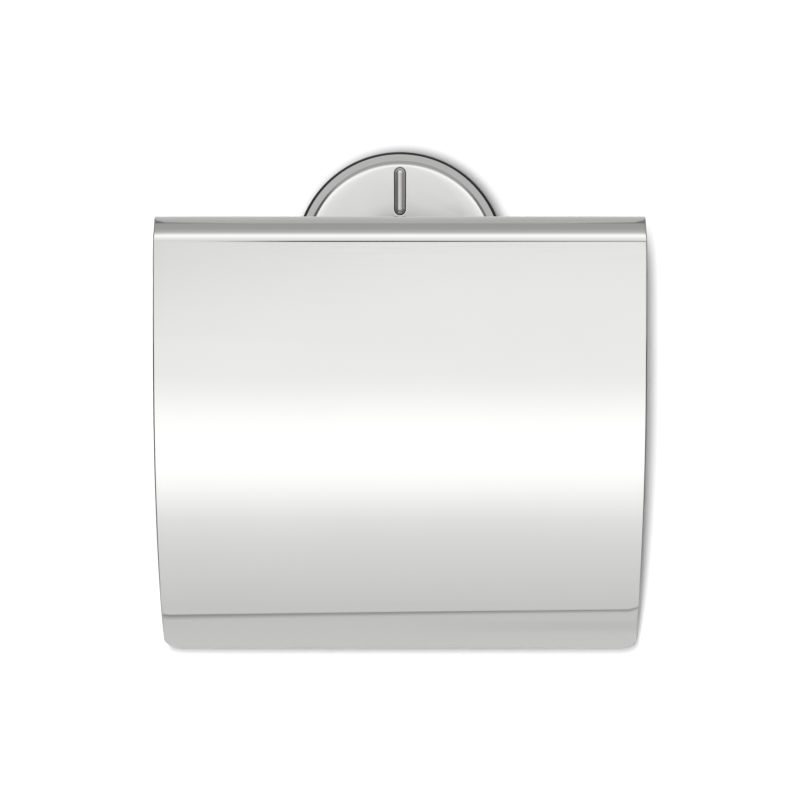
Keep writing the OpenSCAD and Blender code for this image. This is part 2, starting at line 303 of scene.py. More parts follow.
turns = np.radians([22.5, 45, 67.5, 90])
push = edge_r * np.concatenate([np.sin(turns), np.sin(turns[::-1])])
lift = (sheet / 2 - edge_r) + edge_r * np.cos(turns)
lift = np.concatenate([lift, -lift[::-1]])
flat = np.full(net_x.shape, sheet / 2)
rim = [bend_sheet(walk[:, 0] + p * mitre[:, 0], walk[:, 1] + p * mitre[:, 1], np.full(len(walk), h))
       for p, h in zip(push, lift)]
outer_skin = bend_sheet(net_x, net_s, flat)
inner_skin = bend_sheet(net_x, net_s, -flat)
skins = []
for net in nets:
    skins.append(np.stack([net[:-1, :-1], net[1:, :-1], net[1:, 1:], net[:-1, 1:]], -1).reshape(-1, 4))
skin_faces = np.concatenate(skins)
rim_rings = np.stack([outer_skin[outline], *rim, inner_skin[outline]])
piece("flap_sheet", [(outer_skin, skin_faces), (inner_skin, skin_faces[:, ::-1]), stitch(rim_rings)],
      "flap_unit", "flap")

# %% [markdown]
# ## Rings round an axis, and outlines with round corners
# The rosette, the caps and the tubes are turned shapes: a profile of (radius, height) pairs carried round
# an axis. `turned` works on the axis out of the wall, `on_hinge` on the hinge. A profile with rounded
# corners comes from `softened`, which swaps each corner for a short arc.

# %% Turned shapes
def turned(profile, angles, centre=(0.0, 0.0)):
    """Rings round the axis out of the wall: x = r cos t, z = r sin t, y = minus the depth from the wall."""
    r, h = np.asarray(profile, float).T
    x = centre[0] + r[:, None] * np.cos(angles)
    z = centre[1] + r[:, None] * np.sin(angles)
    return np.stack([x, -h[:, None] + 0 * x, z], -1)


def on_hinge(profile, count=72):
    """Rings round the hinge axis from (radius, x) pairs: y and z are the axis plus r cos t and r sin t."""
    r, x = np.asarray(profile, float).T
    t = np.linspace(0, 2 * np.pi, count, endpoint=False)
    y = hinge_y + r[:, None] * np.cos(t)
    return np.stack([x[:, None] + 0 * y, y, hinge_z + r[:, None] * np.sin(t)], -1)


def softened(corners, radius, steps=5, closed=True):
    """A polyline whose corners are arcs, which begin and end at radius / tan(half the corner) from it."""
    p = np.asarray(corners, float)
    radius = np.broadcast_to(radius, len(p))
    out = []
    for i, r in enumerate(radius):
        before, after = p[i - 1], p[(i + 1) % len(p)]
        if r == 0 or (not closed and i in (0, len(p) - 1)):
            out.append(p[i:i + 1])
            continue
        u, v = before - p[i], after - p[i]
        lu, lv = np.linalg.norm(u), np.linalg.norm(v)
        half = np.arccos(np.clip(np.dot(u, v) / lu / lv, -1, 1)) / 2
        back = min(r / np.tan(half), 0.49 * lu, 0.49 * lv)
        size = back * np.tan(half)
        middle = p[i] + (u / lu + v / lv) / np.linalg.norm(u / lu + v / lv) * size / np.sin(half)
        a, b = p[i] + u / lu * back - middle, p[i] + v / lv * back - middle
        sweep = np.pi - 2 * half
        t = np.linspace(0, 1, steps + 1)[:, None]
        out.append(middle + (np.sin((1 - t) * sweep) * a + np.sin(t * sweep) * b) / np.sin(sweep))
    return np.concatenate(out)


round_steps = np.linspace(0, 2 * np.pi, 360, endpoint=False)

# %% [markdown]
# ## The rosette's rubber ring
# A thin moulded ring keeps the steel off the tiles. It shows as a black line round the rosette. Its
# corners are soft, as rubber's are, and it is turned in one go.

# %% Rubber ring
gasket_r, gasket_in, gasket_t = 30, 22.9, 1
ring_corners = [(gasket_r, 0), (gasket_r, gasket_t), (gasket_in, gasket_t), (gasket_in, 0)]
ring_profile = softened(ring_corners, [0.12, 0.4, 0.2, 0.05])
gasket_rings = turned(np.concatenate([ring_profile, ring_profile[:1]]), round_steps)
piece("rubber_ring", [stitch(gasket_rings)], "wall_unit", "wall_gasket")

# %% [markdown]
# ## The rosette's cap
# The cap is pressed from 1 mm sheet. A shallow dome runs into a rolled shoulder, then a straight bevel
# and a short side. The shoulder is an arc that touches both the dome and the bevel: its centre lies one
# shoulder radius inside the bevel's line, and the dome's radius less the shoulder's from the dome's own
# centre. The rolled shoulder is what gives the rosette its bright ring.

# %% The cap's outer form
dome_r, face_top, bevel_top, bevel_low = 300.0, 10.0526, 9.0, 5.9
bevel_w, shoulder_r = 2.7, 2.8
dome_centre = np.array([0.0, face_top - dome_r])
bevel_a, bevel_b = np.array([cap_r - bevel_w, bevel_top]), np.array([cap_r, bevel_low])
bevel_dir = (bevel_b - bevel_a) / np.linalg.norm(bevel_b - bevel_a)
bevel_in = np.array([bevel_dir[1], -bevel_dir[0]])
offset = bevel_a + shoulder_r * bevel_in - dome_centre
nearest = -offset @ bevel_dir
to_root = np.sqrt((offset @ bevel_dir) ** 2 - offset @ offset + (dome_r - shoulder_r) ** 2)
along = min(nearest - to_root, nearest + to_root, key=abs)
shoulder = bevel_a + along * bevel_dir + shoulder_r * bevel_in
shoulder_from = (shoulder - dome_centre) / np.linalg.norm(shoulder - dome_centre)
face_edge = dome_centre[0] + shoulder_from[0] * dome_r
print("the dome meets the shoulder at radius", round(face_edge, 2), "mm")


def face_height(x, z):
    """Depth of the cap's face: the dome's arc inside the shoulder, the shoulder's arc outside it."""
    r = np.hypot(x, z)
    dome = dome_centre[1] + np.sqrt(dome_r ** 2 - r ** 2)
    rolled = shoulder[1] + np.sqrt(np.maximum(shoulder_r ** 2 - (r - shoulder[0]) ** 2, 0))
    return np.where(r < face_edge, dome, rolled)


# %% [markdown]
# The face has two slots: one that the fin stands in, and a longer one below for the arm. Each slot is the
# middle of its own patch. A patch is a set of rings that starts at its outer border, closes in on the
# slot, rolls over a small lip, goes down the slot's wall and comes back under the face. The two patches
# share a straight seam, and together their borders make a full circle that the turned part of the cap
# carries on from.

# %% Outlines with round corners
def box_outline(centre_z, half_w, half_h, radius, share):
    """Points and outward directions of a round-cornered box, at these shares of the way from its foot."""
    turn = np.radians(np.linspace(-90, 0, 60))
    quarter = np.stack([np.cos(turn), np.sin(turn)], -1)
    inner = np.array([half_w - radius, half_h - radius])
    right = np.concatenate([[[0, -half_h]], quarter * radius + inner * [1, -1],
                            (quarter * radius)[::-1] * [1, -1] + inner, [[0, half_h]]])
    facing = np.concatenate([[[0, -1]], quarter, quarter[::-1] * [1, -1], [[0, 1]]])
    ring = np.concatenate([right, right[-2::-1] * [-1, 1]])
    faces = np.concatenate([facing, facing[-2::-1] * [-1, 1]])
    way = np.concatenate([[0], np.cumsum(np.linalg.norm(np.diff(ring, axis=0), axis=1))])
    way = way / way[-1] + np.arange(len(way)) * 1e-9
    at = np.stack([np.interp(share, way, ring[:, k]) for k in (0, 1)], -1)
    out = np.stack([np.interp(share, way, faces[:, k]) for k in (0, 1)], -1)
    out /= np.maximum(np.linalg.norm(out, axis=1, keepdims=True), 1e-9)
    return at + [0, centre_z], out


def shares(ring):
    """How far round its loop each point is, from 0 to 1."""
    step = np.linalg.norm(np.roll(ring, -1, 0) - ring, axis=1)
    return np.concatenate([[0], np.cumsum(step)[:-1]]) / step.sum()


# %% Slot patches
patch_r, seam_deg = 26.2, 20
slot_half, lip_r, lip_room = 1.6, 0.22, 0.62


def slot_patch(border, slot_at, wall=1.0):
    """Rings from the border to the slot's lip, down its wall and back to the border underneath."""
    near, out = slot_at(shares(border))
    lips = np.radians([0, 22.5, 45, 67.5, 90])
    steps_in = (0, 0.12, 0.3, 0.5, 0.7, 0.88, 1.0)
    rings = [(border + f * (near + lip_room * out - border), 0) for f in steps_in]
    rings += [(near + d * out, 0) for d in (0.45, 0.32)]
    rings += [(near + lip_r * (1 - np.sin(t)) * out, lip_r * (1 - np.cos(t))) for t in lips]
    rings += [(near, wall), (near + 0.5 * out, wall), (border, wall)]
    flat_rings = np.stack([plan for plan, _ in rings])
    drop = np.array([down for _, down in rings])[:, None]
    depth = face_height(flat_rings[..., 0], flat_rings[..., 1]) - drop
    return np.stack([flat_rings[..., 0], -depth, flat_rings[..., 1]], -1)


def rim_points(first, last):
    """One point to the degree round the patches' common circle."""
    t = np.radians(np.arange(first, last + 1))
    return patch_r * np.stack([np.cos(t), np.sin(t)], -1)


seam_z = patch_r * np.sin(np.radians(seam_deg))
seam_half = patch_r * np.cos(np.radians(seam_deg))
seam_x = np.linspace(-seam_half, seam_half, 72)[1:-1]
seam = np.stack([seam_x, np.full(len(seam_x), seam_z)], -1)
middle = len(seam) // 2
upper = np.concatenate([seam[middle:], rim_points(seam_deg, 180 - seam_deg), seam[:middle]])
lower_arc = rim_points(180 - seam_deg, 360 + seam_deg)
foot_middle = len(lower_arc) // 2
lower = np.concatenate([lower_arc[foot_middle:], seam[::-1], lower_arc[:foot_middle]])
fin_slot_h, arm_slot_z, arm_slot_h, arm_corner = 6.78, -1.5, 7.68, 0.3
fin_slot = slot_patch(upper, lambda share: box_outline(fin_z, slot_half, fin_slot_h, slot_half, share))
arm_slot = slot_patch(lower, lambda share: box_outline(arm_slot_z, slot_half, arm_slot_h, arm_corner, share))
print("patches of", len(upper), "and", len(lower), "points round")

# %% [markdown]
# The side of the cap has a round hole at the very bottom, for the screw that locks the rosette. It is
# made the same way: a small patch of the side is left out of the turned part and filled with rings that
# close in on the hole, go through the wall and open again on the inside.

# %% The cap's turned part
side_low, side_high, cap_back = 1.6, 5.0, 1.0
side_rows = np.linspace(side_low, side_high, 7)
hole_deg, hole_r, hole_depth = 8, 1.7, 3.2
cap_in = cap_r - sheet
lip_turn = np.linspace(np.arctan2(*(np.array([patch_r, face_height(patch_r, 0)]) - shoulder)),
                       np.arctan2(*-bevel_in), 16)
rolled = shoulder + shoulder_r * np.stack([np.sin(lip_turn), np.cos(lip_turn)], -1)
low_bend = softened([rolled[-1], bevel_b, (cap_r, side_high)], [0, 0.45, 0], 6, closed=False)
foot_corners = [(cap_r, side_low), (cap_r, cap_back), (cap_in, cap_back), (cap_in, side_low)]
foot_bend = softened(foot_corners, [0, 0.3, 0.3, 0], 5, closed=False)
inner_top = [(cap_in, 5.45), (27.0, 6.8), (patch_r, face_height(patch_r, 0) - sheet)]
outer_side = np.stack([0 * side_rows + cap_r, side_rows], -1)[::-1]
inner_side = np.stack([0 * side_rows + cap_in, side_rows], -1)
cap_profile = np.concatenate([rolled[:-1], low_bend[:-1], outer_side, foot_bend[1:-1], inner_side,
                              inner_top])
cap_points, cap_faces = stitch(turned(cap_profile, round_steps))
face_middle = cap_points[cap_faces].mean(1)
face_depth = -face_middle[:, 1]
low_angle = np.degrees(np.arctan2(face_middle[:, 0], -face_middle[:, 2]))
in_hole = (np.abs(low_angle) < hole_deg) & (face_depth > side_low) & (face_depth < side_high)
cap_faces = cap_faces[~in_hole]
print(len(cap_profile), "points on the cap's profile,", in_hole.sum(), "faces left out for the hole")

# %% The cap's screw hole
across = np.radians(np.arange(-hole_deg, hole_deg + 1))
up_side = side_rows[1:-1]
frame_t = np.concatenate([across[hole_deg:], np.full(len(up_side), across[-1]), across[::-1],
                          np.full(len(up_side), across[0]), across[:hole_deg]])
frame_h = np.concatenate([np.full(hole_deg + 1, side_low), up_side, np.full(len(across), side_high),
                          up_side[::-1], np.full(hole_deg, side_low)])
hole_border = np.stack([frame_t * cap_r, frame_h], -1)
toward = hole_border - [0, hole_depth]
toward /= np.linalg.norm(toward, axis=1, keepdims=True)


def hole_ring(radius, mix, at_r):
    """A ring of the patch, mixed between its border and the hole, and wound on to the side by its angle."""
    plan = hole_border * (1 - mix) + ([0, hole_depth] + toward * radius) * mix
    angle = plan[:, 0] / cap_r
    return np.stack([at_r * np.sin(angle), -plan[:, 1], -at_r * np.cos(angle)], -1)


hole_edge = 0.15
hole_rings = np.stack([hole_ring(hole_r + hole_edge, m, cap_r) for m in (0, 0.5, 1)]
                      + [hole_ring(hole_r + 0.05, 1, cap_r - 0.04), hole_ring(hole_r, 1, cap_r - hole_edge)]
                      + [hole_ring(hole_r, m, cap_in) for m in (1, 0)])
piece("rosette_cap_pressed",
      [stitch(fin_slot), stitch(arm_slot), (cap_points, cap_faces), stitch(hole_rings)],
      "wall_unit", "rosette_cap")

# %% [markdown]
# ## The blade: fin, arm and eye
# One steel blade does all the holding. Its upper part stands out of the rosette's face as a round-nosed
# fin, its lower part is the arm whose eye grips the wire, and a tenon behind the face joins the two. The
# fin is a box outline with round ends that shrinks as a quarter circle, so the nose is a true half round.
# Its ends close on a line through the outline's middle, the spine, because a blade has no single middle
# point.

# %% Fin and tenon
def spine_of(ring, centre_z, half_h):
    """An outline drawn in to its middle line: x is 0, and z stays between the centres of the round ends."""
    straight = half_h - blade_half
    spine_z = np.clip(ring[:, 1], centre_z - straight, centre_z + straight).round(6)
    return np.stack([0 * ring[:, 0], spine_z], -1)


def out_of_wall(plan):
    """Rings from (outline, depth) pairs: the outline gives x and z, and y is minus the depth."""
    return np.stack([np.stack([ring[:, 0], np.full(len(ring), -depth), ring[:, 1]], -1)
                     for ring, depth in plan])


round_blade = np.linspace(0, 1, 160, endpoint=False)
fin_back, fin_nose = 4.2, 9.5
fin_ring, fin_out = box_outline(fin_z, blade_half, fin_half_h, blade_half, round_blade)
fin_spine = spine_of(fin_ring, fin_z, fin_half_h)
nose = np.radians(np.linspace(0, 90, 12))
fin_plan = [(fin_spine, fin_back), (fin_ring, fin_back), (fin_ring, fin_nose - 1)]
fin_plan += [(fin_ring - blade_half * (1 - np.cos(t)) * fin_out, fin_nose + blade_half * np.sin(t))
             for t in nose[:-1]]
fin_plan += [(fin_spine, fin_nose + blade_half)]
fin_rings = out_of_wall(fin_plan)

tenon_z, tenon_half_h, tenon_back, tenon_front = 7.95, 15.95, 4.1, 6.8
tenon_ring, tenon_out = box_outline(tenon_z, blade_half, tenon_half_h, blade_half, round_blade)
tenon_spine = spine_of(tenon_ring, tenon_z, tenon_half_h)
tenon_rims = ((0.1, tenon_back), (0, 4.2), (0, 6.7), (0.1, tenon_front))
tenon_plan = [(tenon_spine, tenon_back)]
tenon_plan += [(tenon_ring - inset * tenon_out, depth) for inset, depth in tenon_rims]
tenon_plan += [(tenon_spine, tenon_front)]
tenon_rings = out_of_wall(tenon_plan)
print("the fin stands", round(fin_nose + blade_half - face_top, 2), "mm out of the face's middle")

# %% [markdown]
# The arm is a plate: a loop round the eye's hole and a loop round the outside, with rounded rims. Its
# outside is worked out as a distance from the hinge axis for each angle: the eye's circle, or the
# straight edges of the arm where they lie further out. Taking the larger of the two joins them without a
# seam.

# %% Arm and eye
eye_r, arm_top, arm_low, arm_back = 5.2, 6.0, -9.0, -6.9
plate_t = np.linspace(0, 2 * np.pi, 241)[:-1]
corner_lines = [((hinge_y, arm_top), (arm_back, arm_top)), ((arm_back, arm_top), (arm_back, arm_low)),
                ((arm_back, arm_low), (hinge_y - 0.4, hinge_z - eye_r))]


def ray_to(line, angle):
    """Distance from the hinge axis to a line along each ray, or 0 where the ray misses that line."""
    start = np.array(line[0]) - [hinge_y, hinge_z]
    way = np.array(line[1]) - np.array(line[0])
    ray = np.stack([np.cos(angle), np.sin(angle)], -1)
    cross = ray[:, 0] * way[1] - ray[:, 1] * way[0]
    cross = np.where(np.abs(cross) < 1e-9, 1e-9, cross)
    reach = (start[0] * way[1] - start[1] * way[0]) / cross
    share = (start[0] * ray[:, 1] - start[1] * ray[:, 0]) / cross
    return np.where((reach > 0) & (share >= 0) & (share <= 1), reach, 0)


special = np.arctan2([arm_top - hinge_z, arm_low - hinge_z], arm_back - hinge_y) % (2 * np.pi)
plate_t = np.sort(np.concatenate([plate_t, special]))
reach = np.maximum.reduce([eye_r + 0 * plate_t] + [ray_to(line, plate_t) for line in corner_lines])
plate_out = np.stack([reach * np.cos(plate_t), reach * np.sin(plate_t)], -1)
plate_in = wire_r * np.stack([np.cos(plate_t), np.sin(plate_t)], -1)
soft, bore_soft = 0.25, 0.15
quarter = np.radians([0, 30, 60, 90])
outer_rim = [(plate_out * (1 - soft * (1 - np.cos(t)) / reach)[:, None],
              blade_half - soft + soft * np.sin(t)) for t in quarter]
inner_rim = [(plate_in * (1 + bore_soft * (1 - np.cos(t)) / wire_r),
              blade_half - bore_soft + bore_soft * np.sin(t)) for t in quarter]
face_mix = [(inner_rim[-1][0] * (1 - m) + outer_rim[-1][0] * m, blade_half) for m in (0.2, 0.5, 0.8)]
right_half = inner_rim + face_mix + outer_rim[::-1]
plate_rings = right_half + [(ring, -x) for ring, x in right_half[::-1]]
plate_rings.append(plate_rings[0])
arm_rings = np.stack([np.stack([np.full(len(ring), x), hinge_y + ring[:, 0], hinge_z + ring[:, 1]], -1)
                      for ring, x in plate_rings])
piece("support_blade", [stitch(fin_rings), stitch(tenon_rings), stitch(arm_rings)],
      "wall_unit", "support_arm")

# %% [markdown]
# ## The wire
# One 5 mm wire is bent into a loop: the hinge run, a leg on the left, the run that carries the roll, and
# a turned-up end. It is a circle carried along a bent path, in a plane that leans forward from the hinge.
# The end is turned down to a thinner spigot that its cap is pushed on.

# %% The wire's path
bend_r, side_room = 8.0, 2
bar_y = -(flap_depth - sheet - bumper_t - rest_gap - wire_r)
lean = np.arctan2(bar_drop, hinge_y - bar_y)
leg_len = np.hypot(bar_drop, hinge_y - bar_y)
leg_x = half_width - wire_r - side_room
inner_x = leg_x - bend_r
tip_turn, spigot_r, spigot_len, tip_cap_r = 35.0, wire_r - 0.4, 7.0, wire_r + 0.6
tip_a = np.radians(tip_turn)
bar_end = leg_x - bend_r * np.sin(tip_a) - (spigot_len + tip_cap_r) * np.cos(tip_a)
hinge_cap_len, hinge_cap_floor = 7, 1.2
hinge_end = knuckle_out + play + hinge_cap_len - hinge_cap_floor
quarter_bend = arc_length(bend_r, 90)
wire_spans = [(inner_x + hinge_end, 0), (quarter_bend, 90), (leg_len - 2 * bend_r, 0), (quarter_bend, 90),
              (inner_x + bar_end, 0), (arc_length(bend_r, tip_turn), tip_turn), (spigot_len, 0)]
span_rings = (40, 28, 12, 28, 40, 14, 4)
wire_path = bent_path((hinge_end, 0), 180, wire_spans)
wire_marks = np.cumsum([0] + [length for length, _ in wire_spans])
wire_steps = [np.linspace(first, last, count, endpoint=False)
              for first, last, count in zip(wire_marks[:-1], wire_marks[1:], span_rings)]
wire_steps = np.concatenate(wire_steps + [[wire_marks[-1]]])
print(f"the wire is {wire_path.length:.1f} mm long, and its roll run is {-bar_y:.1f} mm from the wall")


# %% Round wire on the path
def in_wire_plane(points):
    """From the wire's own plane to the holder: turned about X by the lean, then moved to the hinge axis."""
    x, y, z = np.moveaxis(np.asarray(points, float), -1, 0)
    turned_y = hinge_y + y * np.cos(lean) - z * np.sin(lean)
    turned_z = hinge_z + y * np.sin(lean) + z * np.cos(lean)
    return np.stack([x, turned_y, turned_z], -1)


def tube(path, distance, radius, count=48):
    """Rings round a flat path: centre + r cos t * sideways + r sin t * up."""
    centre, heading = path(distance)
    t = np.linspace(0, 2 * np.pi, count, endpoint=False)
    sideways = radius[:, None] * np.cos(t)
    x = centre[:, :1] - sideways * np.sin(heading)[:, None]
    y = centre[:, 1:] + sideways * np.cos(heading)[:, None]
    return np.stack([x, y, radius[:, None] * np.sin(t) + 0 * x], -1)


# The spigot's shoulder is a wide ring and a narrow one at the same place. A ring of no size closes each end.
spigot_at = wire_marks[-2]
at = np.concatenate([[0, 0], wire_steps[1:-4], [spigot_at, spigot_at], wire_steps[-3:], [wire_marks[-1]]])
size = np.where(at > spigot_at + 1e-6, spigot_r, wire_r)
size[np.flatnonzero(at == spigot_at)[-1]] = spigot_r
size[[0, -1]] = 0
wire_rings = in_wire_plane(tube(wire_path, at, size))
piece("bent_wire", [stitch(wire_rings)], "wall_unit", "roll_wire")

# %% [markdown]
# ## Caps, spacers, sleeves and bumpers
# The small pieces are all turned. Each gets the corners that its moulding tool would give it: soft on the
# outside, sharper at the bore. The wire's cap has a domed end, the hinge's cap a flat one with a round
# rim.

# %% Wire end cap
def closed_turn(profile, radius):
    """A profile with softened corners that returns to its first point."""
    rounded = softened(profile, radius)
    return np.concatenate([rounded, rounded[:1]])


tip_at, tip_heading = wire_path(np.array([spigot_at]))
tip_at, tip_heading = tip_at[0], tip_heading[0]
cap_dome = np.radians(np.linspace(0, 90, 14))
tip_corners = [(spigot_r, 0), (tip_cap_r, 0), (tip_cap_r, spigot_len)]
tip_profile = np.concatenate([
    [(0, spigot_len), (spigot_r, spigot_len), (spigot_r, 0)],
    softened(tip_corners, [0, 0.5, 0], 5, closed=False)[1:-1],
    np.stack([tip_cap_r * np.cos(cap_dome), spigot_len + tip_cap_r * np.sin(cap_dome)], -1)])
ring_t = np.linspace(0, 2 * np.pi, 64, endpoint=False)
tip_r, tip_x = tip_profile.T
tip_side = tip_r[:, None] * np.cos(ring_t)
tip_rings = np.stack([tip_at[0] + tip_x[:, None] * np.cos(tip_heading) - tip_side * np.sin(tip_heading),
                      tip_at[1] + tip_x[:, None] * np.sin(tip_heading) + tip_side * np.cos(tip_heading),
                      tip_r[:, None] * np.sin(ring_t)], -1)
piece("wire_end_cap", [stitch(in_wire_plane(tip_rings))], "wall_unit", "roll_wire_end_cap")

# %% Hinge end cap
hinge_cap_r, cap_from, cap_to = 3.7, knuckle_out + play, knuckle_out + play + hinge_cap_len
bore_edge = 0.1
hinge_bore = [(0, hinge_end), (wire_r, hinge_end), (wire_r, cap_from + bore_edge),
              (wire_r + bore_edge, cap_from)]
hinge_outside = softened([(3.0, cap_from), (hinge_cap_r, cap_from), (hinge_cap_r, cap_to), (0, cap_to)],
                         [0, 0.2, 0.9, 0], 6, closed=False)
hinge_profile = np.concatenate([hinge_bore, hinge_outside])
piece("hinge_cap", [stitch(on_hinge(hinge_profile))], "wall_unit", "hinge_end_cap")

# %% [markdown]
# A spacer and a sleeve are plain tubes. Both are the same box of (radius, x) corners carried round the
# hinge, so one function makes them. The spacers sit on the wire and the sleeves turn with the flap.

# %% Spacers and sleeves
def tube_profile(inner, outer, first, last, corners):
    """The wall of a tube: a box from the inner to the outer radius, between two places along the hinge."""
    return closed_turn([(inner, first), (outer, first), (outer, last), (inner, last)], corners)


spacer_r, spacer_end, sleeve_in, sleeve_r = 4.1, knuckle_in - play, 2.55, 3.1
for name, sign in (("left", -1), ("right", 1)):
    spacer = tube_profile(wire_r, spacer_r, sign * blade_half, sign * spacer_end, [0.1, 0.3, 0.3, 0.1])
    piece(f"spacer_tube_{name}", [stitch(on_hinge(spacer))],
          "wall_unit", f"spacer_{name}")
    sleeve = tube_profile(sleeve_in, sleeve_r, sign * knuckle_in, sign * knuckle_out, [0.12] * 4)
    piece(f"bearing_sleeve_{name}", [stitch(on_hinge(sleeve))],
          "flap_unit", f"sleeve_{name}")

# %% [markdown]
# The bumpers are the clear dots that keep steel from clicking on steel. Each is a low dome whose back
# follows the inside of the flap's curve, because it is stuck on there: y is the curve's centre less the
# root of the inner radius squared less the height below the centre squared.

# %% Bumpers
bar_z, bumper_x, bumper_r, bumper_face = hinge_z - bar_drop, 40.0, 4.0, flap_depth - sheet - bumper_t
arc_y, arc_z = arc_r - flap_depth, hinge_z + mid_curl + sheet / 2 - bend_outer - front_run
bumper_corners = [(0, bumper_face), (bumper_r, bumper_face), (bumper_r, flap_depth - sheet)]
for name, sign in (("left", -1), ("right", 1)):
    profile = softened(bumper_corners, [0, 0.9, 0], 8, closed=False)
    rings = turned(np.concatenate([profile, [(0, flap_depth - sheet)]]), ring_t, (bumper_x * sign, bar_z))
    inside = arc_y - np.sqrt((arc_r - sheet) ** 2 - np.minimum(rings[..., 2] - arc_z, 0) ** 2)
    rings[-2:, :, 1] = inside[-2:]
    piece(f"silicone_bumper_{name}", [stitch(rings)], "flap_unit", f"bumper_{name}")

# %% [markdown]
# ## Writing materials as sums
# A material is a small calculation, so it is written as one. `Signal` wraps a socket, and + - * / ** on
# it add Math nodes. `Bench` is where nodes are put: one method takes a node's type, its settings and its
# inputs.

# %% Signals and benches
class Signal:
    """A number that changes over a surface."""

    def __init__(self, bench, socket):
        self.bench, self.socket = bench, socket

    def maths(self, operation, first, second=0.0):
        return self.bench.put("ShaderNodeMath", {"operation": operation}, {0: first, 1: second})

    def __add__(self, other): return self.maths("ADD", self, other)
    def __sub__(self, other): return self.maths("SUBTRACT", self, other)
    def __rsub__(self, other): return self.maths("SUBTRACT", other, self)
    def __mul__(self, other): return self.maths("MULTIPLY", self, other)
    def __truediv__(self, other): return self.maths("DIVIDE", self, other)
    def __rtruediv__(self, other): return self.maths("DIVIDE", other, self)
    def __pow__(self, other): return self.maths("POWER", self, other)
    __radd__, __rmul__ = __add__, __mul__

    def between(self, low, high):
        """0 below low, 1 above high, and a straight line between."""
        return self.bench.put("ShaderNodeMapRange", {"clamp": True},
                              {"Value": self, "From Min": low, "From Max": high})

    def size(self):
        """The value without its sign."""
        return self.bench.put("ShaderNodeMath", {"operation": "ABSOLUTE"}, {0: self})


class Bench:
    """A node tree and the one way that this script adds nodes to it."""

    def __init__(self, tree):
        self.tree = tree
        tree.nodes.clear()

    def put(self, kind, settings=None, inputs=None, out=0):
        """Adds a node: settings first, with a ramp's stops, then a value or a signal for each input."""
        node = self.tree.nodes.new(kind)
        for key, value in (settings or {}).items():
            if key == "stops":
                spots = node.color_ramp.elements
                while len(spots) < len(value):
                    spots.new(0.5)
                for spot, (at, level) in zip(spots, value):
                    spot.position, spot.color = at, (level, level, level, 1)
            else:
                setattr(node, key, value)
        for key, value in (inputs or {}).items():
            self.join(node.inputs[key], value)
        return Signal(self, node.outputs[out])

    def take(self, signal, out):
        """Another output of the node that a signal comes from."""
        return Signal(self, signal.socket.node.outputs[out])

    def join(self, socket, value):
        """Links a signal to a socket, or sets the socket's own value."""
        if isinstance(value, Signal):
            self.tree.links.new(value.socket, socket)
        else:
            socket.default_value = value

    def put_output(self, surface, kind="ShaderNodeOutputMaterial"):
        """Ends the tree with what the renderer reads."""
        node = self.tree.nodes.new(kind)
        self.join(node.inputs["Surface"], surface)


def place(bench, scale=(1, 1, 1)):
    """Object coordinates in metres, stretched by a scale."""
    spot = bench.put("ShaderNodeTexCoord", out="Object")
    return bench.put("ShaderNodeMapping", {}, {"Vector": spot, "Scale": scale}, "Vector")


def noise(bench, scale, stretch=(1, 1, 1), detail=2.0, rough=0.5):
    """Soft noise from 0 to 1 about a mean of a half, with this many features to the metre."""
    spot = place(bench, stretch)
    return bench.put("ShaderNodeTexNoise", {},
                     {"Vector": spot, "Scale": scale, "Detail": detail, "Roughness": rough}, "Fac")


def shade(bench, mask, dark, light):
    """A colour that goes from dark to light with a mask."""
    return bench.put("ShaderNodeMix", {"data_type": "RGBA"},
                     {"Factor": mask, 6: (*dark, 1), 7: (*light, 1)}, 2)


def bump(bench, height, distance):
    """A normal from a height in units of the distance, which is in metres."""
    return bench.put("ShaderNodeBump", {},
                     {"Height": height, "Distance": distance, "Strength": 1.0}, "Normal")


def finish(name, recipe, **fixed):
    """A material: recipe returns what varies, fixed holds the shader's own constants."""
    material = bpy.data.materials.new(name)
    material.use_nodes = True
    bench = Bench(material.node_tree)
    inputs = {key.replace("_", " "): value for key, value in fixed.items()}
    inputs.update(recipe(bench))
    surface = bench.put("ShaderNodeBsdfPrincipled", {}, inputs)
    bench.put_output(surface)
    return material


# %% [markdown]
# ## Polished steel
# Mirror-polished stainless is about 62% reflective and very slightly warm. It is never perfectly even:
# the rollers leave a slow waviness of a few hundredths of a degree, the polishing belt leaves faint
# hairlines along the sheet, and cloths leave a haze. The waviness is a bump with long, low waves, and the
# haze and hairlines are small changes of roughness.

# %% Polished and satin steel
def polished(bench):
    """The flap: haze and hairlines vary the roughness, and slow waves bend the mirror a little."""
    haze = noise(bench, 26.0, detail=3.0)
    hairline = noise(bench, 1.0, (40, 900, 2600), detail=4.0, rough=0.7)
    slow = noise(bench, 9.0, (1, 1, 1), detail=1.0)
    return {"Base Color": shade(bench, haze, (0.612, 0.610, 0.603), (0.640, 0.638, 0.632)),
            "Roughness": 0.028 + haze * 0.03 + hairline.between(0.45, 0.8) * 0.035,
            "Normal": bump(bench, slow + hairline * 0.004, 0.00006)}


def pressed(bench):
    """The rosette's cap: polished after pressing, so it is cloudier than the flap and smeared."""
    cloud = noise(bench, 85.0, detail=2.5)
    smear_and_painted_shade = noise(bench, 30.0, (1, 1, 2.5), detail=2.0)
    hairline = noise(bench, 1.0, (700, 700, 2600), detail=3.0, rough=0.7)
    return {"Base Color": shade(bench, smear_and_painted_shade, (0.600, 0.598, 0.588), (0.650, 0.648, 0.640)),
            "Roughness": 0.10 + cloud * 0.07 + hairline.between(0.5, 0.8) * 0.03,
            "Normal": bump(bench, cloud * 0.35 + smear_and_painted_shade * 0.6, 0.00006)}


